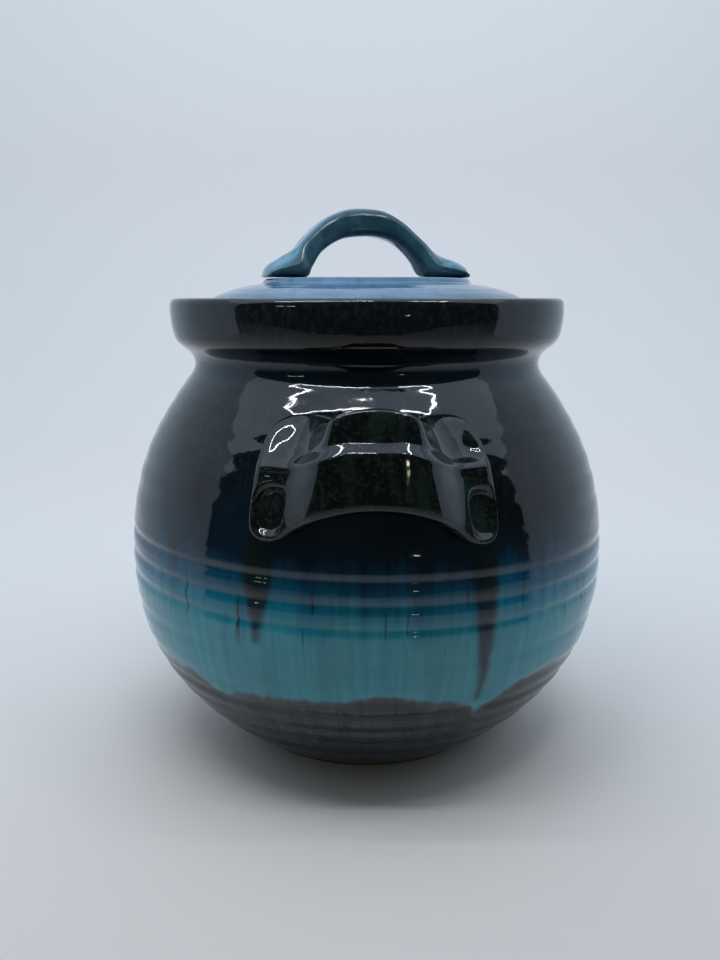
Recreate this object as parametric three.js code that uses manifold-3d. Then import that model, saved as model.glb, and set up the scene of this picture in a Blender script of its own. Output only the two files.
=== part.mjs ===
// A lidded stoneware jar used as a yarn bowl, in millimetres, +Z up, standing on Z = 0.
// Its axis is Z. The strap lugs are on the -Y side (front) and the +Y side (back).
import * as THREE from "three";
import { mergeVertices } from "three/addons/utils/BufferGeometryUtils.js";
import Module from "manifold-3d";

const wasm = await Module();
wasm.setup();

// Driving dimensions
const GAP = 0.3; // clearance that separately made pieces keep where they meet
const TURNS = 48; // segments round the jar, a multiple of 4 so that it measures full size on X and Y

const BELLY = { radius: 111.5, z: 90.5 }; // widest place of the jar
const FOOT = { radius: 57.5, ring: 9, recess: 2.5, bevel: 1.5 };
const NECK = { radius: 80.4, z: 177.5 }; // narrowest place under the rim
const RIM = { radius: 91, top: 206.6, inner: 83, roll: 3 };
const LEDGE = { z: 193, inner: 71 }; // shelf inside the rim that carries the lid
const WALL = 6; // thrown wall
const FLOOR = 9; // thickness of the floor over the recess
const RIDGES = { count: 3, pitch: 9.1, middle: 96.4, depth: 0.9 }; // throwing rings on the belly
const BELLY_STEPS = 9; // points on each half of the belly's outline
const NECK_START = { radius: 83, z: 171.5 }; // where the belly's curve hands over to the neck's

const LID = { radius: 80.2, edge: 5, rise: 14, wall: 5.5 };
const DISC = { radius: 48.5, thick: 2.2 }; // raised flat disc on top of the lid
const FLANGE = { radius: 69.3, width: 5, depth: 9 }; // ring under the lid that keeps it in the mouth

const LUG = {
  front: 118.6, // distance of the strap's middle line from the jar's axis
  thick: 7,
  half: 17.2, // half height of the strap at its middle
  padHalf: 23.7, // half height of the pressed ends
  z: 151,
  padZ: 139.3,
  padFrom: 12, // the strap starts to spread this far from its middle
  padTo: 36,
  rib: 1.3, // raised along the outer face
  crest: 152.5, // height at which the strap steps in
  step: 3.4,
  rounding: 0.07, // share of the strap's length that its rounded ends take
};
// Thumb prints in the lug's ends: places across and up, and their sizes
const DIMPLES = [
  { x: 37.5, z: 152.5, width: 12, height: 17 },
  { x: 37.5, z: 127, width: 14, height: 20 },
];
const DIMPLE_DEPTH = 3.2;

const GRIP = {
  turn: THREE.MathUtils.degToRad(15), // its plane is turned from the lugs' cross direction
  shift: -2.4,
  width: 20,
  footWidth: 27,
  crease: 0.7, // soft hollow along the outer face
  rounding: 0.07, // share of the strap's length that its rounded ends take
};
// Outlines of the grip in its own plane, each point across the lid and its height over the disc
const GRIP_OUTER = [
  [-46.8, 1], [-44.4, 4.1], [-38.5, 7.2], [-31.8, 11.3], [-26.3, 17], [-18.5, 23.8], [-9, 29.4], [0, 32.2],
  [9, 29.4], [18, 25], [25, 19.5], [31, 14], [37.5, 9.5], [45, 6.9], [49.3, 4.1], [50.8, 1.2],
];
const GRIP_INNER = [
  [-46, 0.2], [-42, 0.2], [-36, 0.2], [-28.4, 0.4], [-25.6, 4.8], [-20.2, 12.4], [-9.5, 17.2], [0, 18.6],
  [8.5, 18.3], [15.5, 16], [21, 12], [25.6, 7], [29.8, 1.4], [37, 0.2], [44, 0.2], [50, 0.2],
];

// Materials: glazed stoneware
const DARK_GLAZE = { color: 0x0a1218, roughness: 0.12, metalness: 0 };
const BLUE_GLAZE = { color: 0x4d7f96, roughness: 0.16, metalness: 0 };

// A closed solid of revolution from a path of (radius, height) points, turned so that height is Z.
function turned(points) {
  return new THREE.LatheGeometry(points, TURNS).rotateX(Math.PI / 2);
}

function toSolid(geometry) {
  const bare = geometry.clone();
  bare.deleteAttribute("normal");
  bare.deleteAttribute("uv");
  const merged = mergeVertices(bare, 1e-4);
  return new wasm.Manifold(
    new wasm.Mesh({
      numProp: 3,
      vertProperties: merged.attributes.position.array,
      triVerts: new Uint32Array(merged.index.array),
    }),
  );
}

function toGeometry(solid) {
  const mesh = solid.getMesh();
  const positions = new Float32Array(mesh.numVert * 3);
  for (let i = 0; i < mesh.numVert; i++) {
    const start = i * mesh.numProp;
    positions.set(mesh.vertProperties.subarray(start, start + 3), i * 3);
  }
  const geometry = new THREE.BufferGeometry();
  geometry.setAttribute("position", new THREE.BufferAttribute(positions, 3));
  geometry.setIndex(new THREE.BufferAttribute(new Uint32Array(mesh.triVerts), 1));
  geometry.computeVertexNormals();
  return geometry;
}

// Points of an outline moved sideways by distance: to the left of its direction when positive.
function offset(points, distance) {
  return points.map((point, i) => {
    const before = points[Math.max(i - 1, 0)];
    const after = points[Math.min(i + 1, points.length - 1)];
    const along = after.clone().sub(before).normalize();
    return new THREE.Vector2(point.x - along.y * distance, point.y + along.x * distance);
  });
}

// Outside of the jar from the foot's bevel to the neck: two curves that meet at the belly.
function bellyOutline(pointsEach) {
  const lower = new THREE.CubicBezierCurve(
    new THREE.Vector2(FOOT.radius + FOOT.bevel, FOOT.bevel),
    new THREE.Vector2(87.4, 20.3),
    new THREE.Vector2(BELLY.radius, 44.3),
    new THREE.Vector2(BELLY.radius, BELLY.z),
  );
  const upper = new THREE.CubicBezierCurve(
    new THREE.Vector2(BELLY.radius, BELLY.z),
    new THREE.Vector2(BELLY.radius, BELLY.z + 35.6),
    new THREE.Vector2(100.6, 148.9),
    new THREE.Vector2(NECK_START.radius, NECK_START.z),
  );
  return [...lower.getPoints(pointsEach), ...upper.getPoints(pointsEach).slice(1)];
}

// Radius of the jar's outside at a height on the belly.
function wallRadius(z) {
  const outline = bellyOutline(3 * BELLY_STEPS);
  const next = outline.findIndex((point) => point.y >= z);
  const above = outline[next];
  const below = outline[next - 1];
  return THREE.MathUtils.mapLinear(z, below.y, above.y, below.x, above.x);
}

// Three shallow rings left by the potter's fingers: how far the surface lies inside the smooth outline.
function ridgeDepth(z) {
  const reach = (RIDGES.count * RIDGES.pitch) / 2;
  const from = z - RIDGES.middle;
  if (Math.abs(from) > reach) return 0;
  return RIDGES.depth * (0.5 + 0.5 * Math.cos((2 * Math.PI * from) / RIDGES.pitch));
}

function ridgedBelly() {
  const smooth = bellyOutline(BELLY_STEPS);
  const reach = (RIDGES.count * RIDGES.pitch) / 2;
  const isRidged = (point) => Math.abs(point.y - RIDGES.middle) < reach + 1;
  const below = smooth.filter((point) => !isRidged(point) && point.y < RIDGES.middle);
  const above = smooth.filter((point) => !isRidged(point) && point.y > RIDGES.middle);
  const rings = [];
  for (let i = 0; i <= 4 * RIDGES.count; i++) {
    const z = RIDGES.middle - reach + (i * RIDGES.pitch) / 4;
    rings.push(new THREE.Vector2(wallRadius(z) - ridgeDepth(z), z));
  }
  return [...below, ...rings, ...above];
}

function makePotBody() {
  const underside = [
    new THREE.Vector2(0, FOOT.recess),
    new THREE.Vector2(FOOT.radius - FOOT.ring - FOOT.bevel, FOOT.recess),
    new THREE.Vector2(FOOT.radius - FOOT.ring, 0),
    new THREE.Vector2(FOOT.radius, 0),
  ];
  const rim = new THREE.Path();
  rim.moveTo(NECK_START.radius, NECK_START.z);
  rim.quadraticCurveTo(NECK.radius, 174.8, NECK.radius, NECK.z);
  rim.bezierCurveTo(NECK.radius, 184, RIM.radius - 3.6, 184.6, RIM.radius - 1.8, 189.5);
  rim.quadraticCurveTo(RIM.radius + 0.6, 197.5, RIM.radius - 0.2, RIM.top - RIM.roll);
  rim.quadraticCurveTo(RIM.radius - 0.4, RIM.top, RIM.radius - 0.4 - RIM.roll, RIM.top);
  rim.lineTo(RIM.inner + RIM.roll / 2, RIM.top);
  rim.quadraticCurveTo(RIM.inner, RIM.top, RIM.inner, RIM.top - RIM.roll / 2);
  rim.lineTo(LID.radius + 1.3, LEDGE.z);
  rim.lineTo(LEDGE.inner, LEDGE.z);
  rim.lineTo(LEDGE.inner, LEDGE.z - 4);
  const mouthToNeck = [new THREE.Vector2(NECK.radius - WALL, NECK.z + 2)];
  const floorTop = FOOT.recess + FLOOR;
  const inside = offset(bellyOutline(6), WALL)
    .filter((point) => point.y > floorTop + 6)
    .reverse();
  const floor = [new THREE.Vector2(FOOT.radius, floorTop), new THREE.Vector2(0, floorTop)];
  const outline = [
    ...underside,
    ...ridgedBelly(),
    ...rim.getPoints(3).slice(1),
    ...mouthToNeck,
    ...inside,
    ...floor,
  ];
  return toSolid(turned(outline));
}

// The jar's outside as a plain solid, grown by the clearance, to trim the lugs against.
function potEnvelope() {
  const outside = offset(bellyOutline(BELLY_STEPS), -GAP);
  const bottom = new THREE.Vector2(0, outside[0].y);
  const top = new THREE.Vector2(0, outside[outside.length - 1].y);
  return toSolid(turned([bottom, ...outside, top]));
}

// A bar whose section and middle line vary along its length, bent from a closed cylinder.
// place(t, c, s) gives the point of the surface at length t (0 to 1) and section direction (c, s).
function bentBar(place, steps, around) {
  const geometry = new THREE.CylinderGeometry(1, 1, 1, around, steps);
  const position = geometry.attributes.position;
  for (let i = 0; i < position.count; i++) {
    const point = place(position.getY(i) + 0.5, position.getX(i), position.getZ(i));
    position.setXYZ(i, point.x, point.y, point.z);
  }
  return toSolid(geometry);
}

// Signed power, which squares a circle off into a rounded rectangle.
function squared(value, power) {
  return Math.sign(value) * Math.abs(value) ** power;
}

function ellipsoid(centre, radii) {
  const geometry = new THREE.SphereGeometry(1, 14, 8);
  geometry.scale(radii.x, radii.y, radii.z);
  geometry.translate(centre.x, centre.y, centre.z);
  return toSolid(geometry);
}

// How far a bar's section shrinks towards a rounded end, at length t from 0 to 1.
function endTaper(t, rounding) {
  const fromEnd = Math.min(t, 1 - t) / rounding;
  return fromEnd >= 1 ? 1 : Math.sqrt(1 - (1 - fromEnd) ** 2) * 0.75 + 0.25;
}

// Middle line of a lug in plan: out from the wall, round the loop and back along the wall.
function lugPlan() {
  const half = [
    [12, LUG.front - 1.3],
    [18.5, LUG.front - 5.2],
    [23.7, LUG.front - 10.2],
    [29, LUG.front - 14.8],
    [36, LUG.front - 19.4],
    [44.6, LUG.front - 23.4],
  ];
  const right = half.map(([x, y]) => new THREE.Vector3(x, -y, 0));
  const left = half.map(([x, y]) => new THREE.Vector3(-x, -y, 0)).reverse();
  return new THREE.CatmullRomCurve3([...left, new THREE.Vector3(0, -LUG.front, 0), ...right]);
}

function makeLug() {
  const plan = lugPlan();
  const strap = bentBar(
    (t, c, s) => {
      const middle = plan.getPointAt(t);
      const along = plan.getTangentAt(t);
      const out = new THREE.Vector3(along.y, -along.x, 0).normalize();
      const spread = THREE.MathUtils.smoothstep(Math.abs(middle.x), LUG.padFrom, LUG.padTo);
      const taper = endTaper(t, LUG.rounding);
      const half = THREE.MathUtils.lerp(LUG.half, LUG.padHalf, spread) * taper;
      const height = squared(s, 0.8) * half;
      const z = THREE.MathUtils.lerp(LUG.z, LUG.padZ, spread) + height;
      const rib = c > 0 ? LUG.rib * c * Math.cos((1.5 * Math.PI * height) / half) : 0;
      const step = -LUG.step * THREE.MathUtils.smoothstep(z, LUG.crest, LUG.crest + 6);
      const onWall = wallRadius(z) - wallRadius(LUG.padZ);
      const lean = THREE.MathUtils.lerp(step, onWall, spread);
      const sideways = (squared(c, 0.55) * LUG.thick * taper) / 2 + rib + lean;
      return middle.addScaledVector(out, sideways).setZ(z);
    },
    24,
    16,
  );
  const pressed = [];
  for (const dimple of DIMPLES) {
    for (const side of [-1, 1]) {
      const face = wallRadius(dimple.z) + LUG.thick - 1.2;
      const y = -Math.sqrt(face ** 2 - dimple.x ** 2);
      const centre = new THREE.Vector3(side * dimple.x, y, dimple.z);
      const radii = new THREE.Vector3(dimple.width / 2, DIMPLE_DEPTH, dimple.height / 2);
      pressed.push(ellipsoid(centre, radii));
    }
  }
  return pressed.reduce((lug, dimple) => lug.subtract(dimple), strap).subtract(potEnvelope());
}

// Outside of the lid, from its lower edge over the dome to the middle of the disc.
const LID_SEAT = LEDGE.z + GAP;
const LID_EDGE_TOP = LID_SEAT + LID.edge;
const DISC_TOP = LID_EDGE_TOP + LID.rise + DISC.thick + 1;

function lidOutline() {
  const path = new THREE.Path();
  path.moveTo(LID.radius, LID_SEAT);
  path.lineTo(LID.radius, LID_EDGE_TOP - 1.5);
  path.quadraticCurveTo(LID.radius, LID_EDGE_TOP + 0.3, LID.radius - 2, LID_EDGE_TOP + 1);
  const domeTop = LID_EDGE_TOP + LID.rise + 1;
  path.bezierCurveTo(75.5, LID_EDGE_TOP + 8.7, 65, domeTop - 2.3, DISC.radius + 1, domeTop);
  path.lineTo(DISC.radius - 0.6, DISC_TOP - 0.7);
  path.lineTo(DISC.radius - 1.6, DISC_TOP);
  path.lineTo(0, DISC_TOP);
  return path.getPoints(5);
}

function makeLid() {
  const flangeInner = FLANGE.radius - FLANGE.width;
  const flangeBottom = LID_SEAT - FLANGE.depth;
  const hollow = new THREE.Path();
  hollow.moveTo(0, DISC_TOP - LID.wall - 1.5);
  hollow.lineTo(DISC.radius - 8, DISC_TOP - LID.wall - 1.5);
  hollow.quadraticCurveTo(flangeInner, LID_EDGE_TOP + 2, flangeInner, LID_SEAT);
  const outline = [
    ...hollow.getPoints(6),
    new THREE.Vector2(flangeInner, flangeBottom),
    new THREE.Vector2(FLANGE.radius - 1.5, flangeBottom),
    new THREE.Vector2(FLANGE.radius, flangeBottom + 2),
    new THREE.Vector2(FLANGE.radius, LID_SEAT),
    ...lidOutline(),
  ];
  return toSolid(turned(outline));
}

// The lid's outside as a plain solid, grown by the clearance, to trim the grip against.
function lidEnvelope() {
  const outside = offset(lidOutline(), -GAP);
  outside[outside.length - 1].x = 0;
  return toSolid(turned([new THREE.Vector2(0, LID_SEAT), ...outside]));
}

// A smooth curve through an outline of the grip.
function gripCurve(outline) {
  const points = outline.map(([across, height]) => new THREE.Vector3(across, 0, DISC_TOP + height));
  return new THREE.CatmullRomCurve3(points, false, "catmullrom");
}

// A strap bent into an arch, whose rounded feet spread on the disc.
function makeGrip() {
  const outer = gripCurve(GRIP_OUTER);
  const inner = gripCurve(GRIP_INNER);
  const bar = bentBar(
    (t, c, s) => {
      const top = outer.getPoint(t);
      const bottom = inner.getPoint(t);
      const foot = 1 - THREE.MathUtils.smoothstep(top.z - DISC_TOP, 7.5, 15);
      const taper = endTaper(t, GRIP.rounding);
      const width = THREE.MathUtils.lerp(GRIP.width, GRIP.footWidth, foot) * taper;
      const thick = top.distanceTo(bottom);
      const crease = c > 0 ? (GRIP.crease * c * Math.cos(Math.PI * s)) / thick : 0;
      const domed = c > 0 ? 0.5 * foot * c * Math.abs(s) ** 3 : 0;
      const share = 0.5 + squared(c, 0.75) / 2 - crease - domed;
      return bottom.lerp(top, share).setY((squared(s, 0.75) * width) / 2);
    },
    30,
    14,
  );
  const placed = toGeometry(bar).rotateZ(GRIP.turn).translate(GRIP.shift, 0, 0);
  return toSolid(placed).subtract(lidEnvelope());
}

function asMesh(name, solid, glaze) {
  const mesh = new THREE.Mesh(toGeometry(solid), new THREE.MeshStandardMaterial(glaze));
  mesh.name = name;
  return mesh;
}

const group = new THREE.Group();
const lug = makeLug();
const backLug = asMesh("back_lug_handle", lug, DARK_GLAZE);
backLug.rotation.z = Math.PI;
group.add(
  asMesh("pot_body", makePotBody(), DARK_GLAZE),
  asMesh("front_lug_handle", lug, DARK_GLAZE),
  backLug,
  asMesh("lid", makeLid(), BLUE_GLAZE),
  asMesh("lid_handle", makeGrip(), BLUE_GLAZE),
);

export default group;
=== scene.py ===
"""A lidded, glazed stoneware yarn bowl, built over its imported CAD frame.

Outlines are in millimetres and Blender objects in metres. +Z is up and the front lug faces -Y. Angles round
the jar start at the front lug. Each clay member is a fine mesh worked out from a few driving dimensions:
the pot and the lid are turned outlines, the lugs and the lid's handle are pulled straps. The glazes are
procedural materials.
"""

import bmesh
import bpy
import numpy as np
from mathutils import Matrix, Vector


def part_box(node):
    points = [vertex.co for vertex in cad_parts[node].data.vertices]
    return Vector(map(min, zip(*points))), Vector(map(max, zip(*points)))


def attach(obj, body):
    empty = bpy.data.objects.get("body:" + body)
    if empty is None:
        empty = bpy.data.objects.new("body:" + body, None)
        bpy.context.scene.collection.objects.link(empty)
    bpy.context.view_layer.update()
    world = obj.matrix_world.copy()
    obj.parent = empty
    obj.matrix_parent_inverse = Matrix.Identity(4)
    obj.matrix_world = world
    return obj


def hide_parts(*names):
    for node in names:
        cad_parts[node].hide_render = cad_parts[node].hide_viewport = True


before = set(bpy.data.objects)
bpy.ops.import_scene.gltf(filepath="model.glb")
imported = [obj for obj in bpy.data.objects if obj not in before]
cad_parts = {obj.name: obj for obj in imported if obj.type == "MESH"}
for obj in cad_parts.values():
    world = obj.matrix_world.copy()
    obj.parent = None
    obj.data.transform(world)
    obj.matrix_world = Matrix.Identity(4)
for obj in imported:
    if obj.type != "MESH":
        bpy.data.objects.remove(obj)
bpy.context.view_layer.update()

MM = 0.001


def lowest(node):
    """The lowest corner of a CAD node's box, in millimetres."""
    return np.array(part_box(node)[0]) / MM


def highest(node):
    """The highest corner of a CAD node's box, in millimetres."""
    return np.array(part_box(node)[1]) / MM


pot_high = highest("pot_body")
lug_low = lowest("front_lug_handle")
lid_low, lid_high = lowest("lid"), highest("lid")
grip_high = highest("lid_handle")

# Driving dimensions, in millimetres
BELLY_RADIUS, BELLY_HEIGHT = pot_high[0], 90.5
FOOT_RADIUS, FOOT_RING, FOOT_RECESS = 57.5, 9.0, 2.5
NECK_RADIUS, NECK_HEIGHT = 80.4, 177.5
NECK_START = (83.0, 171.5)
RIM_RADIUS, RIM_TOP, RIM_INNER = 91.0, pot_high[2], 83.0
LEDGE_HEIGHT, MOUTH_RADIUS = 193.0, 71.0
WALL, FLOOR = 6.0, 9.0

RIDGE_PITCH = 9.3  # the throwing spiral on the belly
RIDGE_MIDDLE = 93.4
RIDGE_DEPTH = 0.75
SHOULDER_RINGS = (122.0, 133.0, 143.0, 151.0, 158.5)  # heights of the weaker rings above the belly
# The softer grooves between the belly and the foot: height, depth as a share, and half width
LOW_RINGS = ((69.0, 0.35, 3.0), (53.0, 0.35, 2.5), (43.5, 1.0, 2.1), (35.0, 0.75, 2.1), (27.5, 0.75, 2.1),
             (18.5, 0.9, 2.1))

# Glaze drips that run down from the front lug's ends: their angle in degrees, their half widths at the top
# and the tip, the height of the tip, and how far the tip strays to the side
DRIPS = (
    {"turn": -22.6, "half": 6.4, "tip_half": 1.6, "tip": 75.5, "sway": -1.2},
    {"turn": 23.8, "half": 6.0, "tip_half": 2.1, "tip": 47.5, "sway": 2.6},
)
DRIP_TOP = 104.0
GLAZE_THICK = 0.45  # how far a drip stands proud
# Where the turquoise stops: angle in degrees and height, lowest where a drip ran into it
TURQUOISE_EDGE = ((-180, 52), (-150, 50), (-120, 54), (-90, 52), (-60, 53), (-45, 53.4), (-39.7, 50.5),
                  (-35.5, 45.0), (-30.7, 49.1), (-21.9, 51.4), (-12.6, 52.1), (0.8, 54.5), (6.2, 54.6),
                  (16.4, 49.8), (22.3, 48.4), (26.6, 41.5), (30.2, 47.0), (33, 50), (37.2, 53.8),
                  (46.7, 54.1), (60, 53), (90, 50), (120, 53), (150, 49), (180, 52))

LID_RADIUS, LID_EDGE, LID_WALL = lid_high[0], 5.0, 5.5
DISC_RADIUS, DISC_THICK, DISC_TOP = 48.5, 2.2, lid_high[2]
FLANGE_RADIUS, FLANGE_WIDTH, FLANGE_DEPTH = 69.3, 5.0, 9.0
LID_SEAT = lid_low[2] + FLANGE_DEPTH
LID_EDGE_TOP = LID_SEAT + LID_EDGE

LUG_THICK, LUG_HALF_LENGTH = 7.0, 46.0
LUG_FRONT = -lug_low[1] - LUG_THICK / 2 - 1.4  # the strap's middle, from the jar's axis
LUG_TURN = np.radians(1.2)
LUG_CREST, LUG_CREST_DROP = 152.8, 7.8  # the crest along the strap, and how much lower it lies at the ends
PAD_HEIGHT = 139.3  # middle of the pressed ends
LIP = 2.4  # roll along the ends' lower edge
# Thumb prints in the lug's ends, no two quite alike. The upper ones are grooves that run down the slope,
# the lower ones deep hollows with a long upper wall.
UPPER_PRINTS = (
    {"x": -34.6, "z": 158.5, "across": 5.8, "up": 8.2, "depth": 2.2, "slope": 0.0, "turn": -0.22},
    {"x": 37.2, "z": 154.5, "across": 6.8, "up": 7.6, "depth": 2.2, "slope": 0.26, "turn": 0.0},
)
LOWER_PRINTS = (
    {"x": -36.2, "z": 129.8, "across": 7.9, "up": 10.6, "depth": 3.8},
    {"x": 38.6, "z": 128.2, "across": 7.4, "up": 11.2, "depth": 4.0},
)

GRIP_TURN, GRIP_SHIFT = np.radians(15.0), -2.4
GRIP_RISE = grip_high[2] - DISC_TOP
GRIP_WIDTH, GRIP_FOOT_WIDTH = 20.0, 27.0

ROUND = 360  # steps round the thrown pieces
FINE, COARSE = 0.85, 2.5  # spacing of the pot's points outside and inside
LID_FINE, LID_COARSE = 0.7, 2.0
STRAP_FINE = 0.4
MERGE_DISTANCE = 0.00001  # metres; points closer than this are one


# Curves and numbers


def smooth(value, low, high):
    """0 below low, 1 above high, and an easy turn between them."""
    t = np.clip((value - low) / (high - low), 0, 1)
    return t * t * (3 - 2 * t)


def bump(distance, width):
    """1 at no distance, falling off smoothly over about the width."""
    return np.exp(-((distance / width) ** 2))


def bezier(points, steps):
    """Points along a Bezier curve of any degree, without its first point."""
    t = np.linspace(0, 1, steps + 1)[1:, None]
    level = [np.array(point, float) + 0 * t for point in points]
    while len(level) > 1:
        level = [(1 - t) * a + t * b for a, b in zip(level, level[1:])]
    return level[0]


def through(knots, t):
    """A smooth curve through evenly timed knots (Catmull-Rom), read at t from 0 to 1."""
    knots = np.array(knots, float)
    ends = np.vstack([2 * knots[0] - knots[1], knots, 2 * knots[-1] - knots[-2]])
    place = np.clip(np.asarray(t), 0, 1) * (len(knots) - 1)
    start = np.minimum(place.astype(int), len(knots) - 2)
    u = (place - start)[:, None]
    a, b, c, d = (ends[start + k] for k in range(4))
    return 0.5 * (2 * b + (c - a) * u + (2 * a - 5 * b + 4 * c - d) * u**2 + (3 * b - a - 3 * c + d) * u**3)


def evenly(points, spacing):
    """The same polyline with its points the given distance apart."""
    lengths = np.r_[0, np.cumsum(np.linalg.norm(np.diff(points, axis=0), axis=1))]
    count = max(2, int(round(lengths[-1] / spacing)) + 1)
    at = np.linspace(0, lengths[-1], count)
    return np.stack([np.interp(at, lengths, points[:, k]) for k in range(points.shape[1])], 1)


def softened(points, times):
    """The points drawn towards their neighbours again and again; the first and the last stay."""
    points = points.copy()
    for _ in range(times):
        points[1:-1] = (points[:-2] + 2 * points[1:-1] + points[2:]) / 4
    return points


def ramp(value, low, high, rounding):
    """Rises evenly from 0 at low to high - low at high, with softly rounded ends."""
    rise = np.hypot(value - low, rounding) - np.hypot(value - high, rounding)
    return (rise + high - low) / 2


def rounded_section(half_out, half_wide, power, spacing):
    """Evenly spaced points round a squared-off ellipse, as shares (out, wide) of its half sizes."""
    turn = np.linspace(0, 2 * np.pi, 6001)
    ring = np.stack([np.cos(turn), np.sin(turn)], 1)
    ring = np.sign(ring) * np.abs(ring) ** (2 / power) * (half_out, half_wide)
    shares = evenly(ring, spacing)[:-1] / (half_out, half_wide)
    return shares[:, 0, None], shares[:, 1, None]


def ripple(angle, height, seed, size):
    """A soft, seamless unevenness round a thrown piece, about 1 high at most."""
    rng = np.random.default_rng(seed)
    total = np.zeros(np.broadcast(angle, height).shape)
    for _ in range(14):
        turns = rng.integers(1, 7)
        waves = rng.uniform(0.4, 1.6) / size
        around = np.sin(turns * angle + rng.uniform(0, 6.3))
        total += around * np.sin(6.28 * waves * height + rng.uniform(0, 6.3))
    return total / 6


# Meshes


def grid_mesh(name, points, caps=False):
    """A mesh over a (rows, columns, 3) grid of points in millimetres, whose last row joins its first."""
    rows, columns = points.shape[:2]
    index = np.arange(rows * columns).reshape(rows, columns)
    after = np.roll(index, -1, axis=0)
    faces = np.stack([index[:, :-1], after[:, :-1], after[:, 1:], index[:, 1:]], -1).reshape(-1, 4).tolist()
    if caps:
        faces += [index[::-1, 0].tolist(), index[:, -1].tolist()]
    mesh = bpy.data.meshes.new(name)
    mesh.from_pydata((points.reshape(-1, 3) * MM).tolist(), [], faces)
    obj = bpy.data.objects.new(name, mesh)
    bpy.context.scene.collection.objects.link(obj)
    return obj


def finish_mesh(obj):
    """Joins coinciding points, turns every face outwards and shades it smooth."""
    work = bmesh.new()
    work.from_mesh(obj.data)
    bmesh.ops.remove_doubles(work, verts=work.verts, dist=MERGE_DISTANCE)
    bmesh.ops.recalc_face_normals(work, faces=work.faces)
    for face in work.faces:
        face.smooth = True
    work.to_mesh(obj.data)
    work.free()
    return obj


def point_value(obj, name, values):
    """Stores one number for each point of the mesh, for its material to read."""
    attribute = obj.data.attributes.new(name, "FLOAT", "POINT")
    attribute.data.foreach_set("value", np.asarray(values, np.float32).ravel())


def places(obj):
    """The mesh's points in millimetres."""
    flat = np.zeros(len(obj.data.vertices) * 3)
    obj.data.vertices.foreach_get("co", flat)
    return flat.reshape(-1, 3) / MM


# The pot


def belly_outline():
    """From the foot's bevel round the belly to the start of the neck."""
    foot = (FOOT_RADIUS + 1.5, 1.5)
    widest = (BELLY_RADIUS, BELLY_HEIGHT)
    lower = bezier([foot, (87.4, 20.3), (BELLY_RADIUS, 44.3), widest], 60)
    upper = bezier([widest, (BELLY_RADIUS, BELLY_HEIGHT + 35.6), (100.6, 148.9), NECK_START], 60)
    return np.vstack([[foot], lower, upper])


def pot_outside():
    """From the foot's bevel to the top of the rim."""
    neck = bezier([NECK_START, (NECK_RADIUS, 174.8), (NECK_RADIUS, NECK_HEIGHT)], 12)
    collar_start = (RIM_RADIUS - 1.8, 189.5)
    flare = bezier([(NECK_RADIUS, NECK_HEIGHT), (NECK_RADIUS, 184), (RIM_RADIUS - 3.6, 184.6),
                    collar_start], 20)
    collar = bezier([collar_start, (RIM_RADIUS + 0.4, 197.0), (RIM_RADIUS - 0.2, RIM_TOP - 3)], 20)
    roll = bezier([(RIM_RADIUS - 0.2, RIM_TOP - 3), (RIM_RADIUS - 0.4, RIM_TOP),
                   (RIM_RADIUS - 3.4, RIM_TOP)], 10)
    return np.vstack([belly_outline(), neck, flare, collar, roll])


def pot_inside():
    """From the top of the rim over the lid's ledge and down to the middle of the floor."""
    lip = bezier([(RIM_INNER + 1.5, RIM_TOP), (RIM_INNER, RIM_TOP), (RIM_INNER, RIM_TOP - 1.5)], 6)
    shelf = bezier([(LID_RADIUS + 1.6, LEDGE_HEIGHT + 1.5), (LID_RADIUS + 1.4, LEDGE_HEIGHT),
                    (LID_RADIUS, LEDGE_HEIGHT)], 5)
    mouth = bezier([(MOUTH_RADIUS + 1, LEDGE_HEIGHT), (MOUTH_RADIUS, LEDGE_HEIGHT),
                    (MOUTH_RADIUS, LEDGE_HEIGHT - 1)], 5)
    under = bezier([(MOUTH_RADIUS, LEDGE_HEIGHT - 3), (MOUTH_RADIUS, LEDGE_HEIGHT - 8),
                    (NECK_RADIUS - WALL, NECK_HEIGHT + 2)], 6)
    belly = belly_outline()
    along = np.gradient(belly, axis=0)
    along /= np.linalg.norm(along, axis=1)[:, None]
    inner = belly + WALL * np.stack([-along[:, 1], along[:, 0]], 1)
    floor_top = FOOT_RECESS + FLOOR
    inner = inner[inner[:, 1] > floor_top + 7][::-1]
    start = inner[-1]
    floor = bezier([start, (FOOT_RADIUS + 2, floor_top), (FOOT_RADIUS - 12, floor_top)], 10)
    return np.vstack([lip, shelf, mouth, under, inner, floor, [(0, floor_top)]])


def foot_underside():
    """From the middle of the recess under the pot over the foot ring to its bevel."""
    ring = FOOT_RADIUS - FOOT_RING
    return np.array([(0, FOOT_RECESS), (ring - 2, FOOT_RECESS), (ring, 0.4), (ring + 0.5, 0),
                     (FOOT_RADIUS - 0.5, 0), (FOOT_RADIUS + 0.4, 0.3), (FOOT_RADIUS + 1.5, 1.5)])


def spiral_ridges(angle, height):
    """Depth of the throwing spiral: strong at the belly, weaker low down and on the shoulder."""
    climbing = height + RIDGE_PITCH * angle / (2 * np.pi)
    wave = 0.5 + 0.5 * np.cos(2 * np.pi * (climbing - RIDGE_MIDDLE) / RIDGE_PITCH)
    sharp = wave**2.2
    strong = smooth(height, 76, 84) * (1 - smooth(height, 104, 109))
    shoulder = 0.0
    for place in SHOULDER_RINGS:
        shoulder = shoulder + 0.4 * bump(climbing - place, 3.0)
    return RIDGE_DEPTH * (1.1 * sharp * strong + 1.5 * low_rings(climbing) + shoulder)


def low_rings(climbing):
    """The softer grooves between the belly and the foot, 1 deep at most."""
    rings = 0.0
    for place, depth, half_width in LOW_RINGS:
        rings = rings + depth * bump(climbing - place, half_width)
    return rings


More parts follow.
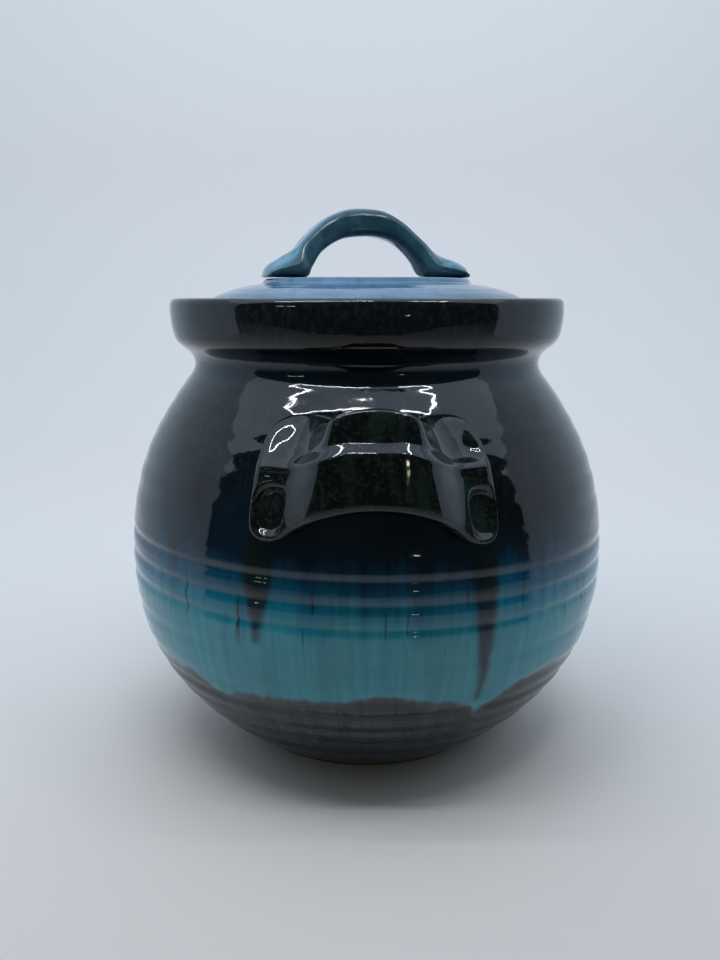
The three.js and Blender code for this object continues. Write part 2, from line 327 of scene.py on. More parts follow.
def throw_lines(angle, height):
    """Fine lines left by the fingers, climbing slowly round the pot, about 1 deep at most."""
    rng = np.random.default_rng(21)
    total = 0.0
    for wave in (5.3, 7.1, 9.7, 13.0):
        swing = 0.8 * np.sin(rng.integers(1, 4) * angle + rng.uniform(0, 6.3))
        climb = 2 * np.pi * (height / wave + angle / (2 * np.pi))
        total = total + np.sin(climb + swing + rng.uniform(0, 6.3))
    return total / 4


def drip_distance(angle, height, drip):
    """Distance outside a drip that narrows towards its tip; negative inside."""
    fall = smooth(height, drip["tip"], DRIP_TOP)
    across = (angle - np.radians(drip["turn"])) * BELLY_RADIUS - drip["sway"] * (1 - fall)
    half = drip["tip_half"] + (drip["half"] - drip["tip_half"]) * fall
    beyond = np.maximum(drip["tip"] + drip["tip_half"] - height, 0)
    return np.hypot(across, beyond) - half


def nearest_drip(angle, height):
    """Distance outside the nearest drip; negative inside."""
    return np.minimum(*(drip_distance(angle, height, drip) for drip in DRIPS))


def drip_rise(angle, height):
    """How far the drips stand proud; they sink into the dark glaze towards their tops."""
    return GLAZE_THICK * smooth(-nearest_drip(angle, height), -1.2, 2.5) * (1 - smooth(height, 88, 118))


def lower_edge(angle):
    """Height at which the turquoise glaze stops, wavy as it ran."""
    degrees, heights = np.array(TURQUOISE_EDGE).T
    waves = 0.5 * np.sin(9 * angle) + 0.35 * np.sin(23 * angle + 1) + 0.2 * np.sin(41 * angle + 2)
    return np.interp(np.degrees(angle), degrees, heights) + waves


def make_pot():
    """The thrown pot, with its rings, a slight unevenness and the thickness of its glaze."""
    outside = evenly(pot_outside(), FINE)
    inside = evenly(pot_inside(), COARSE)
    outline = np.vstack([foot_underside()[:-1], outside, inside])
    angle = np.linspace(-np.pi, np.pi, ROUND, endpoint=False)[:, None]
    radius = outline[None, :, 0] + 0 * angle
    height = outline[None, :, 1] + 0 * angle
    first = len(foot_underside()) - 1
    skin = np.zeros(len(outline))
    skin[first:first + len(outside)] = 1
    skin = skin * smooth(outline[:, 1], 1.5, 12)
    belly = skin * (1 - smooth(outline[:, 1], 160, 172))
    radius = radius - belly * spiral_ridges(angle, height)
    wobble = ripple(angle, height, 3, 60)
    radius = radius - skin * (0.22 * (1 + wobble) + 0.05 * (1 + throw_lines(angle, height)))
    radius = radius + belly * drip_rise(angle, height)
    edge = height - lower_edge(angle)
    radius = radius + belly * 0.35 * (smooth(edge, -0.6, 2.0) * (1 - 0.6 * smooth(edge, 2, 12)))
    grid = np.stack([radius * np.sin(angle), -radius * np.cos(angle), height], -1)
    return finish_mesh(grid_mesh("pot_body_clay", grid))


def mark_pot(pot):
    """Stores what the pot's glaze reads: the distances, in millimetres, from the turquoise's lower edge and
    the drips, how deep the low grooves are, and which points lie inside."""
    x, y, z = places(pot).T
    angle = np.arctan2(x, -y)
    point_value(pot, "edge", z - lower_edge(angle))
    point_value(pot, "drip", nearest_drip(angle, z))
    point_value(pot, "groove", low_rings(z + RIDGE_PITCH * angle / (2 * np.pi)))
    radius = np.hypot(x, y)
    inner = np.interp(z, belly_outline()[:, 1], belly_outline()[:, 0]) - WALL / 2
    inside = (radius < np.where(z > NECK_START[1], RIM_INNER + 1, inner)) & (z > FOOT_RECESS + 1)
    point_value(pot, "inside", inside)


# The lugs


def wall_radius(height):
    """The belly's radius at a height."""
    outline = belly_outline()
    return np.interp(height, outline[:, 1], outline[:, 0])


def lug_plan(t):
    """Middle line of a lug seen from above: out from the wall, round the loop and back along the wall."""
    half = [(13, LUG_FRONT - 1.0), (19.5, LUG_FRONT - 3.4), (24.3, LUG_FRONT - 8.9),
            (28.8, LUG_FRONT - 14.9), (34.5, LUG_FRONT - 18.5), (44.6, LUG_FRONT - 22.9)]
    knots = [(-x, -y) for x, y in reversed(half)] + [(0, -LUG_FRONT)] + [(x, -y) for x, y in half]
    return through(knots, t)


def lug_edges(across):
    """Top and bottom edge of the strap and its pressed ends, by the distance from its middle."""
    far = np.abs(across) / LUG_HALF_LENGTH
    top = through([[168.4], [168], [167], [164.6], [161.6], [162.6], [163], [162], [156]], far)
    bottom = through([[133], [132.8], [131.8], [130], [125.6], [120.2], [117.6], [117.4], [121.5]], far)
    top, bottom = top[:, 0], bottom[:, 0]
    return top, bottom - 1.8 * smooth(across, 20, 40)


def lug_lean(above):
    """The strap leans back a little and steps in above its crest."""
    return -0.08 * above - 0.92 * ramp(above, 0.3, 4.4, 0.4)


def pad_lean(above, z):
    """The ends follow the wall and thin out above their crest."""
    return wall_radius(z) - wall_radius(PAD_HEIGHT) - 0.25 * ramp(above, 0.5, 18, 1.2)


def lug_marks(across, above, z):
    """The rib between the thumb prints, and the prints themselves, pressed into the lug's ends."""
    marks = 1.4 * bump(above, 2.2)
    for mark in UPPER_PRINTS:
        aside, up = across - mark["x"], z - mark["z"]
        window = bump(aside, mark["across"]) * np.exp(-(np.abs(up) / mark["up"]) ** 4)
        marks = marks - window * (mark["depth"] - mark["slope"] * up - mark["turn"] * aside)
    for mark in LOWER_PRINTS:
        aside, up = np.abs(across - mark["x"]) / mark["across"], (z - mark["z"]) / mark["up"]
        distance = (aside**2.7 + np.abs(up) ** 2.7) ** (1 / 2.7)
        flat = 0.66 - 0.3 * smooth(up, 0.1, 0.9)
        depth = mark["depth"] * (1 - 0.4 * smooth(-up, -0.2, 1))
        marks = marks - depth * (1 - smooth((distance - flat) / (1 - flat), 0, 1))
    return marks


def make_lug(name, turn):
    """A strap swept along its plan, leaning with the wall and pressed in at its ends."""
    rough_line = lug_plan(np.linspace(0, 1, 800))
    middle = softened(evenly(rough_line, STRAP_FINE), 60)
    steps = len(middle)
    along = np.gradient(middle, axis=0)
    along /= np.linalg.norm(along, axis=1)[:, None]
    outwards = np.stack([along[:, 1], -along[:, 0]], 1)
    far = np.abs(middle[:, 0])
    spread = smooth(far, 14, 34)
    ends = np.minimum(np.arange(steps), np.arange(steps)[::-1]) / steps / 0.045
    taper = np.where(ends < 1, np.sqrt(np.clip(1 - (1 - ends) ** 2, 0, 1)), 1)

    top, bottom = softened(np.stack(lug_edges(middle[:, 0]), 1), 160).T
    out, wide = rounded_section(LUG_THICK / 2, (top - bottom).max() / 2, 6.0, STRAP_FINE)
    z = (top + bottom) / 2 + wide * (top - bottom) / 2 * (0.7 + 0.3 * taper)
    above = z - LUG_CREST + LUG_CREST_DROP * smooth(far, 8, 34)
    lean = (1 - spread) * lug_lean(above) + spread * pad_lean(above, z)
    rolled = np.clip(1 - (z - bottom) / LIP, 0, 1)
    marks = lug_marks(middle[:, 0], above, z) - LIP * (1 - np.sqrt(1 - rolled**2))
    marks = np.clip(out, 0, 1) * spread * marks
    sideways = out * LUG_THICK / 2 * (0.35 + 0.65 * taper) + lean + marks * taper
    x = middle[:, 0] + outwards[:, 0] * sideways
    y = middle[:, 1] + outwards[:, 1] * sideways
    x, y = x * np.cos(turn) - y * np.sin(turn), x * np.sin(turn) + y * np.cos(turn)
    return finish_mesh(grid_mesh(name, np.stack([x, y, z], -1), caps=True))


# The lid and its handle


def lid_outline():
    """From the lid's seat up its side, over the dome and the step of the disc to the middle."""
    side = bezier([(LID_RADIUS, LID_SEAT + 0.8), (LID_RADIUS, LID_SEAT + 2),
                   (LID_RADIUS, LID_EDGE_TOP - 1.5)], 4)
    shoulder = bezier([(LID_RADIUS, LID_EDGE_TOP - 1.5), (LID_RADIUS, LID_EDGE_TOP + 0.3),
                       (LID_RADIUS - 2, LID_EDGE_TOP + 1)], 6)
    dome_top = DISC_TOP - DISC_THICK
    dome = bezier([(LID_RADIUS - 2, LID_EDGE_TOP + 1), (75.5, LID_EDGE_TOP + 8.7), (65, dome_top - 2.5),
                   (DISC_RADIUS + 0.6, dome_top - 0.1)], 30)
    step = bezier([(DISC_RADIUS + 0.6, dome_top - 0.1), (DISC_RADIUS - 0.4, dome_top + 0.2),
                   (DISC_RADIUS - 0.4, DISC_TOP - 0.2), (DISC_RADIUS - 2, DISC_TOP)], 10)
    return np.vstack([[(LID_RADIUS - 0.8, LID_SEAT)], side, shoulder, dome, step, [(0, DISC_TOP)]])


def lid_underside():
    """From the middle of the hollow over the ring that keeps the lid in the mouth to the seat."""
    inner = FLANGE_RADIUS - FLANGE_WIDTH
    bottom = LID_SEAT - FLANGE_DEPTH
    ceiling = DISC_TOP - LID_WALL - 1.5
    hollow = bezier([(DISC_RADIUS - 8, ceiling), (inner, LID_EDGE_TOP + 2), (inner, LID_SEAT)], 12)
    lip = bezier([(inner, bottom + 2), (inner, bottom), (inner + 1.8, bottom)], 5)
    nose = bezier([(FLANGE_RADIUS - 2, bottom), (FLANGE_RADIUS, bottom), (FLANGE_RADIUS, bottom + 2.5)], 5)
    return np.vstack([[(0, ceiling), (DISC_RADIUS - 8, ceiling)], hollow, lip, nose,
                      [(FLANGE_RADIUS, LID_SEAT - 0.4), (FLANGE_RADIUS + 0.4, LID_SEAT)]])


def make_lid():
    """The thrown lid, with faint rings and a slight unevenness on its dome."""
    outline = np.vstack([evenly(lid_underside(), LID_COARSE), evenly(lid_outline(), LID_FINE)])
    angle = np.linspace(-np.pi, np.pi, ROUND, endpoint=False)[:, None]
    radius = outline[None, :, 0] + 0 * angle
    height = outline[None, :, 1] + 0 * angle
    above_seat = np.arange(len(outline)) > len(lid_underside())
    top = smooth(outline[:, 1], LID_EDGE_TOP - 1, LID_EDGE_TOP + 3) * above_seat
    rings = 0.05 * np.cos(2 * np.pi * outline[:, 0] / 6.5) * smooth(outline[:, 0], 46, 52)
    height = height - top * (0.25 + rings + 0.12 * ripple(angle, radius, 8, 30))
    grid = np.stack([radius * np.sin(angle), -radius * np.cos(angle), height], -1)
    return finish_mesh(grid_mesh("lid_clay", grid))


def grip_outlines(t):
    """Outer and inner outline of the handle in its own plane: u across the lid, and height over the disc."""
    top = GRIP_RISE - 0.1
    outer = [(-46.2, 1.2), (-44.6, 5.6), (-38.9, 9.6), (-32, 14.0), (-26.3, 20.0), (-18.5, 26.6),
             (-9.5, 30.6), (0, top), (9.5, 30.2), (18, 25.8), (25, 20.1), (31, 15.2), (37.5, 11.2), (45, 8.7),
             (49.8, 5.8), (51.4, 1.4)]
    inner = [(-45.6, 0.2), (-41.5, 0.2), (-35, 0.2), (-26.8, 0.4), (-24.2, 4.8), (-19.6, 11.6),
             (-10.5, 17.2), (0, 18.8), (8.5, 18.3), (15.5, 16), (21, 12), (25.6, 7), (29.8, 1.4), (37, 0.2),
             (44, 0.2), (50.6, 0.2)]
    return through(outer, t), through(inner, t)


def make_grip():
    """A strap bent over the disc, crisp along the arch, with low rounded feet pressed onto the disc."""
    steps = 280
    t = np.linspace(0, 1, steps)
    outer, inner = grip_outlines(t)
    middle, half = (outer + inner) / 2, (outer - inner) / 2
    foot = 1 - smooth(outer[:, 1], 9.5, 17)
    ends = np.minimum(t, 1 - t) / 0.07
    taper = np.where(ends < 1, np.sqrt(np.clip(1 - (1 - ends) ** 2, 0, 1)), 1)
    width = (GRIP_WIDTH * (1 - foot) + GRIP_FOOT_WIDTH * foot) * (0.35 + 0.65 * taper)

    out, wide = rounded_section(6.5, GRIP_WIDTH / 2, 3.0, 0.55)
    face = np.clip(out, 0, 1)
    crease = 0.1 * face * bump(wide, 0.5)
    domed = 1.35 * face * foot * np.abs(wide) ** 2.4
    reach = out - crease - domed
    u = middle[:, 0] + half[:, 0] * reach
    z = DISC_TOP + middle[:, 1] + half[:, 1] * reach
    v = wide * width / 2
    x = u * np.cos(GRIP_TURN) - v * np.sin(GRIP_TURN) + GRIP_SHIFT
    y = u * np.sin(GRIP_TURN) + v * np.cos(GRIP_TURN)
    grip = grid_mesh("lid_handle_clay", np.stack([x, y, z], -1), caps=True)
    corner = np.minimum(face, np.abs(wide))
    edge = smooth(corner, 0.74, 0.86) * (1 - foot) + foot * smooth(np.abs(wide), 0.9, 0.99) * face
    point_value(grip, "edge", edge)
    # Where the arch faces outwards and up, read by the glaze for its painted light.
    point_value(grip, "top", np.broadcast_to(smooth(face - np.abs(wide), -0.1, 0.25), u.shape))
    return finish_mesh(grip)


# Materials


class Glaze:
    """A small helper that adds shader nodes and joins them."""

    def __init__(self, name):
        self.material = bpy.data.materials.new(name)
        self.material.use_nodes = True
        self.tree = self.material.node_tree
        self.shader = self.tree.nodes["Principled BSDF"]
        self.place = self.node("ShaderNodeTexCoord").outputs["Object"]

    def node(self, kind, **settings):
        made = self.tree.nodes.new(kind)
        for key, value in settings.items():
            setattr(made, key, value)
        return made

    def feed(self, socket, value):
        if isinstance(value, bpy.types.NodeSocket):
            self.tree.links.new(value, socket)
        else:
            socket.default_value = value

    def math(self, operation, *values, clamp=False):
        made = self.node("ShaderNodeMath", operation=operation, use_clamp=clamp)
        for socket, value in zip(made.inputs, values):
            self.feed(socket, value)
        return made.outputs[0]

    def between(self, value, low, high, start=0.0, end=1.0, linear=False):
        made = self.node("ShaderNodeMapRange", interpolation_type="LINEAR" if linear else "SMOOTHSTEP")
        for socket, number in zip(made.inputs[:5], (value, low, high, start, end)):
            self.feed(socket, number)
        return made.outputs[0]

    def mix(self, share, first, second):
        made = self.node("ShaderNodeMix", data_type="RGBA")
        self.feed(made.inputs[0], share)
        self.feed(made.inputs[6], first)
        self.feed(made.inputs[7], second)
        return made.outputs[2]

    def bands(self, value, stops):
        """Colours that change from one (value, colour) stop to the next."""
        low, high = stops[0][0], stops[-1][0]
        made = self.node("ShaderNodeValToRGB")
        self.feed(made.inputs[0], self.between(value, low, high, linear=True))
        points = made.color_ramp.elements
        while len(points) < len(stops):
            points.new(1.0)
        for point, (place, colour) in zip(points, stops):
            point.position = (place - low) / (high - low)
            point.color = colour
        return made.outputs["Color"]

    def read(self, name):
        return self.node("ShaderNodeAttribute", attribute_name=name).outputs["Fac"]

    def plumb(self):
        """Each point moved level to one radius, so that streaks read there run straight down the wall."""
        parts = self.node("ShaderNodeSeparateXYZ")
        self.feed(parts.inputs[0], self.place)
        level = self.node("ShaderNodeCombineXYZ")
        self.feed(level.inputs["X"], parts.outputs["X"])
        self.feed(level.inputs["Y"], parts.outputs["Y"])
        outwards = self.node("ShaderNodeVectorMath", operation="NORMALIZE")
        self.feed(outwards.inputs[0], level.outputs[0])
        upright = self.node("ShaderNodeCombineXYZ")
        self.feed(upright.inputs["Z"], parts.outputs["Z"])
        moved = self.node("ShaderNodeVectorMath", operation="MULTIPLY_ADD")
        self.feed(moved.inputs[0], outwards.outputs[0])
        moved.inputs[1].default_value = [BELLY_RADIUS * MM] * 3
        self.feed(moved.inputs[2], upright.outputs[0])
        return moved.outputs[0]

    def noise(self, scale, stretch=(1, 1, 1), detail=3.0, rough=0.55, shift=0.0, place=None):
        mapping = self.node("ShaderNodeMapping")
        self.feed(mapping.inputs["Vector"], self.place if place is None else place)
        mapping.inputs["Scale"].default_value = stretch
        mapping.inputs["Location"].default_value = (shift, shift, shift)
        made = self.node("ShaderNodeTexNoise")
        self.feed(made.inputs["Vector"], mapping.outputs[0])
        made.inputs["Scale"].default_value = scale
        made.inputs["Detail"].default_value = detail
        made.inputs["Roughness"].default_value = rough
        return made.outputs["Fac"]

    def height(self):
        """How high a point lies, in millimetres."""
        parts = self.node("ShaderNodeSeparateXYZ")
        self.feed(parts.inputs[0], self.place)
        return self.math("MULTIPLY", parts.outputs["Z"], 1 / MM)

    def bumps(self, value, distance, strength=1.0):
        made = self.node("ShaderNodeBump")
        self.feed(made.inputs["Height"], value)
        made.inputs["Distance"].default_value = distance
        made.inputs["Strength"].default_value = strength
        self.tree.links.new(made.outputs[0], self.shader.inputs["Normal"])


def rgb(red, green, blue):
    """A colour from its sRGB values of 0 to 255."""
    values = np.array([red, green, blue]) / 255
    linear = np.where(values <= 0.04045, values / 12.92, ((values + 0.055) / 1.055) ** 2.4)
    return (*linear.tolist(), 1.0)


BLACK = rgb(7, 11, 14)
SOOT = rgb(30, 34, 36)
INK = rgb(7, 30, 46)
DEEP_BLUE = rgb(12, 68, 96)
BLUE = rgb(14, 96, 126)
TEAL = rgb(22, 132, 156)
TURQUOISE = rgb(64, 157, 173)
PLUM = rgb(40, 40, 62)
SLATE = rgb(54, 67, 74)
DARK_SLATE = rgb(31, 42, 47)
# Painted shade for the low grooves of the lower wall.
SLATE_GROOVE_SHADE = rgb(20, 28, 30)
EDGE_BROWN = rgb(74, 76, 82)
BARE_CLAY = rgb(112, 98, 84)
MOSS = rgb(22, 38, 34)
SPECK = rgb(42, 48, 46)
RUST = rgb(92, 62, 60)
LID_TEAL, LID_BLUE, LID_DEEP = rgb(62, 106, 130), rgb(88, 117, 150), rgb(38, 84, 104)
GRIP_TEAL, GRIP_PALE, GRIP_DEEP = rgb(36, 66, 74), rgb(56, 92, 104), rgb(24, 50, 60)
# Painted light: the handle's upward faces, lighter as if lit by the bright ceiling.
GRIP_PAINTED_TOP_LIGHT = rgb(88, 134, 158)


def spread_about(g, value, share, amount):
    """The value moved up and down by a share around its middle of one half."""
    return g.math("ADD", value, g.math("MULTIPLY", g.math("SUBTRACT", share, 0.5), amount))


def pot_noises(g):
    """The unevenness that the pot's colours share: streaks that run straight down, clouds and specks."""
    wall = g.plumb()
    return {
        "wall": wall,
        "fine": g.noise(260, (1, 1, 0.05), 4, 0.6, place=wall),
        "broad": g.noise(70, (1, 1, 0.12), 4, 0.6, 3.0, place=wall),
        "cloud": g.noise(26, (1, 1, 0.7), 4, 0.6, 7.0),
        "grain": g.noise(520, (1, 1, 0.6), 3, 0.6, 13.0),
        "streak": g.between(g.noise(240, (1, 1, 0.05), 4, 0.65, 2.0, place=wall), 0.36, 0.64),
    }


def glossy_colour(g, height, noises):
    """Near-black over blue and turquoise, run down in streaks and short dark dashes."""
    run = spread_about(g, spread_about(g, height, noises["fine"], 20.0), noises["broad"], 18.0)
    band = g.bands(run, [(79, TURQUOISE), (87, TEAL), (95, BLUE), (103, DEEP_BLUE), (111, INK), (124, BLACK)])
    mottle = g.math("MULTIPLY", g.between(noises["cloud"], 0.4, 0.62), g.between(height, 88, 125, 0.15, 0.85))
    band = g.mix(mottle, band, INK)
    soot = g.mix(g.between(noises["grain"], 0.42, 0.7), BLACK, SOOT)
    band = g.mix(g.between(height, 118, 150, 0.0, 0.9), band, soot)
    band = g.mix(g.math("MULTIPLY", noises["streak"], g.between(height, 74, 92, 0.3, 0.0)), band, BLUE)
    dashes = g.between(g.noise(480, (1, 1, 0.06), 1, 0.5, 11.0, place=noises["wall"]), 0.64, 0.72)
    dashes = g.math("MULTIPLY", dashes, g.between(height, 70, 84, 0.0, 0.75))
    dashes = g.math("MULTIPLY", dashes, g.between(height, 92, 104, 1.0, 0.25))
    return g.mix(dashes, band, INK)


def with_drips(g, height, noises, band):
    """The dark drips laid over the glossy colours, plum low down and near-black at the top."""
    drip = spread_about(g, spread_about(g, g.read("drip"), noises["broad"], 5.0), noises["fine"], 3.0)
    low, high = g.mix(noises["grain"], PLUM, SOOT), g.mix(noises["grain"], BLACK, MOSS)
    run_down = g.mix(g.between(height, 84, 100), low, high)
    share = g.math("MULTIPLY", g.between(drip, -2.2, 1.6, 0.92, 0.0), g.between(height, 112, 128, 1.0, 0.0))
    return g.mix(share, band, run_down)


def slate_colour(g, height, noises, edge):
    """The satin slate of the lower wall, with painted shade darkening its grooves, and brown close under the
    turquoise.
    """
    layer = g.between(g.noise(60, (0.12, 0.12, 4.5), 3, 0.6, 5.0), 0.3, 0.6, 0.35, 1.0)
    slate = g.mix(g.math("MULTIPLY", noises["streak"], layer), DARK_SLATE, SLATE)
    # Painted shade: the slate darkens in the low grooves, by their depth.
    slate = g.mix(g.between(g.read("groove"), 0.25, 0.9, 0.0, 0.7), slate, SLATE_GROOVE_SHADE)
    slate = g.mix(g.between(height, 6, 40, 0.85, 0.0), slate, DARK_SLATE)
    return g.mix(g.between(edge, -5.5, -0.6, 0.0, 0.75), slate, EDGE_BROWN)


def dark_glaze(name):
    """Near-black at the top, blue and turquoise at the belly, satin slate below, and a bare foot."""
    g = Glaze(name)
    height = g.height()
    noises = pot_noises(g)
    edge = spread_about(g, g.read("edge"), g.noise(300, (1, 1, 0.15), place=noises["wall"]), 5.0)
    below = g.between(edge, -1.8, 1.5, 1.0, 0.0)
    foot = g.between(height, 0.4, 1.0, 1.0, 0.0)
    glossy = with_drips(g, height, noises, glossy_colour(g, height, noises))
    colour = g.mix(below, glossy, slate_colour(g, height, noises, edge))
    colour = g.mix(g.read("inside"), colour, INK)
    colour = g.mix(foot, colour, BARE_CLAY)

    g.feed(g.shader.inputs["Base Color"], colour)
    rough = g.math("ADD", 0.05, g.math("MULTIPLY", below, 0.13))
    rough = g.math("ADD", rough, g.math("MULTIPLY", foot, 0.5))
    g.feed(g.shader.inputs["Roughness"], rough)
    g.feed(g.shader.inputs["Specular IOR Level"], g.between(noises["cloud"], 0.3, 0.7, 0.42, 0.56))
    g.bumps(spread_about(g, g.noise(90, (1, 1, 1), 2), g.noise(400), 0.15), 0.0012, 0.1)
    return g.material


def black_glaze(name):
    """The lugs' near-black, with a faint mottle where it broke over the strap."""
    g = Glaze(name)
    cloud = g.noise(60, (1, 1, 0.6), 4, 0.6)
    streak = g.noise(220, (1, 1, 0.15), 3, 0.6, 4.0)
    grain = g.noise(520, (1, 1, 1), 3, 0.6, 13.0)
    colour = g.mix(g.between(g.math("MULTIPLY", cloud, streak), 0.2, 0.34), BLACK, MOSS)
    colour = g.mix(g.between(grain, 0.46, 0.7, 0.0, 0.75), colour, SPECK)
    g.feed(g.shader.inputs["Base Color"], colour)
    g.shader.inputs["Roughness"].default_value = 0.05
    g.bumps(g.noise(90, (1, 1, 1), 2), 0.0012, 0.1)
    return g.material


def blue_glaze(name):
    """The lid's light blue over teal."""
    g = Glaze(name)
    cloud = g.noise(28, (1, 1, 1), 4, 0.55)
    fine = g.noise(160, (1, 1, 1), 3, 0.6, 2.0)
    colour = g.mix(g.between(cloud, 0.36, 0.64), LID_TEAL, LID_BLUE)
    colour = g.mix(g.between(fine, 0.45, 0.7, 0.0, 0.45), colour, LID_DEEP)
    g.feed(g.shader.inputs["Base Color"], colour)
    g.shader.inputs["Roughness"].default_value = 0.09
    g.bumps(g.noise(100, (1, 1, 1), 2), 0.001, 0.12)
    return g.material


def handle_glaze(name):
    """The handle's blue: painted light makes it lighter where it faces up, teal on its sides, brown where it
    runs thin over edges.
    """
    g = Glaze(name)
    cloud = g.noise(40, (1, 1, 1), 4, 0.55, 6.0)
    fine = g.noise(190, (1, 1, 1), 3, 0.6, 2.0)
    colour = g.mix(g.between(cloud, 0.38, 0.62), GRIP_TEAL, GRIP_PALE)
    # Painted light: the upward outer faces of the arch are painted lighter.
    colour = g.mix(g.read("top"), colour, GRIP_PAINTED_TOP_LIGHT)
    colour = g.mix(g.between(fine, 0.5, 0.7, 0.0, 0.5), colour, GRIP_DEEP)
    thin = g.math("MULTIPLY", g.read("edge"), g.between(fine, 0.38, 0.58, 0.3, 1.0))
    colour = g.mix(g.between(thin, 0.45, 0.95, 0.0, 0.75), colour, RUST)
    g.feed(g.shader.inputs["Base Color"], colour)
    g.shader.inputs["Roughness"].default_value = 0.06
    g.bumps(g.noise(100, (1, 1, 1), 2), 0.001, 0.12)
    return g.material


def plain(name, colour, rough):
    """A matt colour with hardly any shine."""
    material = bpy.data.materials.new(name)
    material.use_nodes = True
    shader = material.node_tree.nodes["Principled BSDF"]
    shader.inputs["Base Color"].default_value = colour
    shader.inputs["Roughness"].default_value = rough
    shader.inputs["Specular IOR Level"].default_value = 0.1
    return material


def glowing(name, colour, strength):
    """A black surface that only gives light, so that walls of it don't light each other up."""
    material = plain(name, (0.0, 0.0, 0.0, 1.0), 1.0)
    shader = material.node_tree.nodes["Principled BSDF"]
    shader.inputs["Specular IOR Level"].default_value = 0.0
    shader.inputs["Emission Color"].default_value = colour
    shader.inputs["Emission Strength"].default_value = strength
    return material


# The studio: a white light box, open at the front to a dark room


LIGHT = (0.68, 0.84, 1.0, 1.0)
STRIP_LIGHT, LAMP_LIGHT, ROOM_LIGHT = (0.92, 0.96, 1.0, 1.0), (1.0, 1.0, 0.72, 1.0), (0.8, 1.0, 0.86, 1.0)
SIDE_GLOW, CEILING_GLOW, STRIP_GLOW, LAMP_GLOW, ROOM_GLOW = 0.74, 1.42, 150.0, 26.0, 0.05
SWEEP_COLOUR, SWEEP_ROUGH = (0.92, 0.84, 0.80, 1.0), 0.7
BOX_HALF, BOX_FRONT, BOX_BACK = 0.6, -0.2, 0.95
BOX_HEIGHT, BOX_REAR_HEIGHT = 0.42, 1.5
FLOOR_FRONT, SWEEP_HALF, SWEEP_BEND = -0.5, 1.6, 0.4
STRIP_LEVEL, STRIP_FRONT, STRIP_BACK, STRIP_WIDTH = 0.40, -0.19, -0.137, 0.0017
LAMP_DISTANCE, LAMP_HALF_HIGH = 2.6, 0.018
LAMPS = ((-48, 17, 0.09), (-42, 17, 0.09), (21, 2, 0.04))  # degrees aside, degrees up, and half width
CAMERA_PLACE, CAMERA_TILT = (-0.0031, -0.430, 0.2066), 11.43  # metres, and degrees down
CAMERA_LENS, CAMERA_SENSOR = 33.75, 36.0  # millimetres


def card(name, corners, material):
    """One flat face."""
    mesh = bpy.data.meshes.new(name)
    mesh.from_pydata(corners, [], [list(range(len(corners)))])
    obj = bpy.data.objects.new(name, mesh)
    bpy.context.scene.collection.objects.link(obj)
    obj.data.materials.append(material)
    return obj


def make_sweep():
    """A pale floor that curves up into a backdrop."""
    bend = SWEEP_BEND
    profile = [(FLOOR_FRONT, 0.0), (BOX_BACK - bend, 0.0)]
    for angle in np.linspace(0, np.pi / 2, 17)[1:]:
        profile.append((BOX_BACK - bend + bend * np.sin(angle), bend - bend * np.cos(angle)))
    profile.append((BOX_BACK, BOX_REAR_HEIGHT))
    points = [(x, y, z) for y, z in profile for x in (-SWEEP_HALF, SWEEP_HALF)]
    faces = [(2 * i, 2 * i + 1, 2 * i + 3, 2 * i + 2) for i in range(len(profile) - 1)]
    mesh = bpy.data.meshes.new("sweep")
    mesh.from_pydata(points, [], faces)
    obj = bpy.data.objects.new("sweep", mesh)
    bpy.context.scene.collection.objects.link(obj)
    for face in mesh.polygons:
        face.use_smooth = True
    mesh.materials.append(plain("pale_sweep", SWEEP_COLOUR, SWEEP_ROUGH))
    return obj


def make_light_box():
    """Glowing sides and a ceiling that rises towards the back."""
    wall = glowing("box_wall", LIGHT, SIDE_GLOW)
    made = []
    for side in (-1, 1):
        x = side * BOX_HALF
        corners = [(x, BOX_FRONT, 0), (x, BOX_BACK, 0), (x, BOX_BACK, BOX_REAR_HEIGHT),
                   (x, BOX_FRONT, BOX_HEIGHT)]
        made.append(card(f"box_side_{side}", corners, wall))
    ceiling = [(-BOX_HALF, BOX_FRONT, BOX_HEIGHT), (BOX_HALF, BOX_FRONT, BOX_HEIGHT),
               (BOX_HALF, BOX_BACK, BOX_REAR_HEIGHT), (-BOX_HALF, BOX_BACK, BOX_REAR_HEIGHT)]
    made.append(card("box_ceiling", ceiling, glowing("box_ceiling", LIGHT, CEILING_GLOW)))
    return made


def light_strips():
    """Bright strips round two panels in the box's ceiling, just inside its front edge."""
    glow = glowing("strip", STRIP_LIGHT, STRIP_GLOW)
    bars = []
    for left, right, outer_end in ((-0.19, 0.012, -0.19), (0.078, 0.15, 0.15 - STRIP_WIDTH)):
        bars.append((left, STRIP_FRONT, right, STRIP_FRONT + STRIP_WIDTH))
        bars.append((left, STRIP_BACK, right, STRIP_BACK + STRIP_WIDTH))
        bars.append((outer_end, STRIP_FRONT, outer_end + STRIP_WIDTH, STRIP_BACK))
    made = []
    for i, (x0, y0, x1, y1) in enumerate(bars):
        corners = [(x, y, STRIP_LEVEL) for x, y in ((x0, y0), (x0, y1), (x1, y1), (x1, y0))]
        made.append(card(f"strip_{i}", corners, glow))
    return made


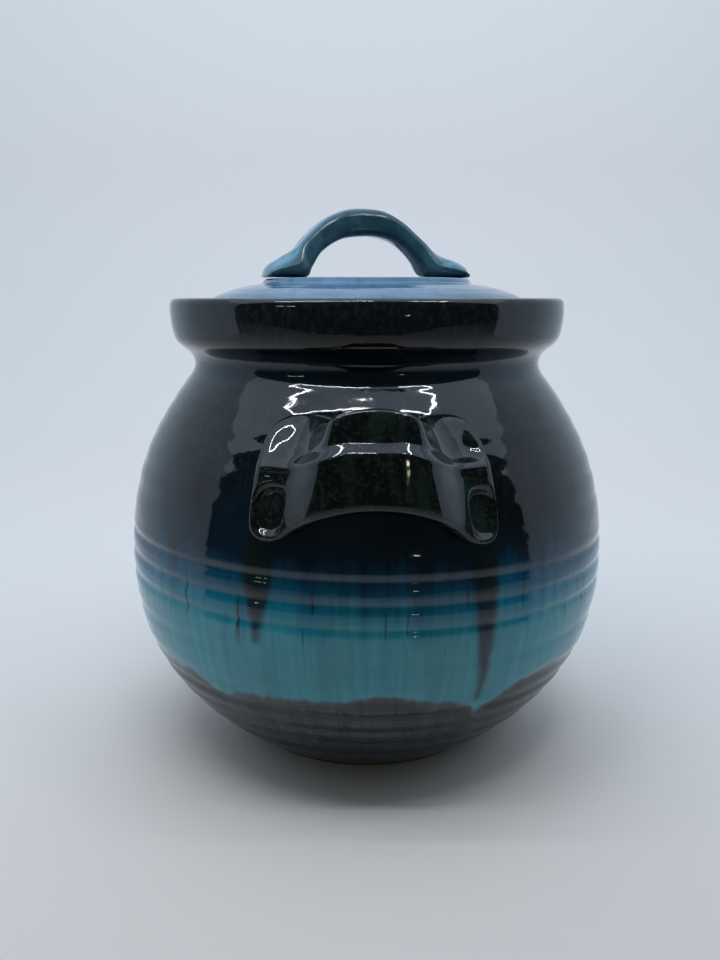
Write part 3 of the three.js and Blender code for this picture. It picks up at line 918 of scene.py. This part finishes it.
def room_lamps():
    """Small lamps far off in the dark room, which the glaze mirrors as points."""
    glow = glowing("lamp", LAMP_LIGHT, LAMP_GLOW)
    made = []
    for azimuth, elevation, half_wide in LAMPS:
        turn = np.radians(azimuth)
        middle = np.array([np.sin(turn), -np.cos(turn), np.tan(np.radians(elevation))]) * LAMP_DISTANCE
        side = np.array([np.cos(turn), np.sin(turn), 0]) * half_wide
        up = np.array([0, 0, LAMP_HALF_HIGH])
        corners = [middle - side - up, middle + side - up, middle + side + up, middle - side + up]
        made.append(card(f"lamp_{azimuth}", [tuple(corner) for corner in corners], glow))
    return made


def make_world():
    """The dark room in front of the box."""
    world = bpy.data.worlds.new("room")
    world.use_nodes = True
    background = world.node_tree.nodes["Background"]
    background.inputs["Color"].default_value = ROOM_LIGHT
    background.inputs["Strength"].default_value = ROOM_GLOW
    bpy.context.scene.world = world


def make_camera():
    """A camera in front of the jar, level with its rim and looking slightly down."""
    data = bpy.data.cameras.new("camera")
    data.lens = CAMERA_LENS
    data.sensor_width = CAMERA_SENSOR
    camera = bpy.data.objects.new("camera", data)
    camera.location = CAMERA_PLACE
    camera.rotation_euler = (np.radians(90 - CAMERA_TILT), 0, 0)
    bpy.context.scene.collection.objects.link(camera)
    bpy.context.scene.camera = camera


def main():
    pot = make_pot()
    mark_pot(pot)
    pot.data.materials.append(dark_glaze("dark_glaze"))
    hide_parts("pot_body")
    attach(pot, "pot")

    lug_glaze = black_glaze("lug_glaze")
    for name, node, turn in (("front_lug_clay", "front_lug_handle", LUG_TURN),
                             ("back_lug_clay", "back_lug_handle", np.pi)):
        lug = make_lug(name, turn)
        lug.data.materials.append(lug_glaze)
        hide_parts(node)
        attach(lug, "pot")

    lid = make_lid()
    lid.data.materials.append(blue_glaze("blue_glaze"))
    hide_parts("lid")
    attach(lid, "lid")

    grip = make_grip()
    grip.data.materials.append(handle_glaze("handle_glaze"))
    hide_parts("lid_handle")
    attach(grip, "lid")

    make_world()
    make_sweep()
    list(make_light_box())
    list(light_strips())
    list(room_lamps())
    make_camera()
    bpy.context.scene.view_settings.view_transform = "Standard"


main()
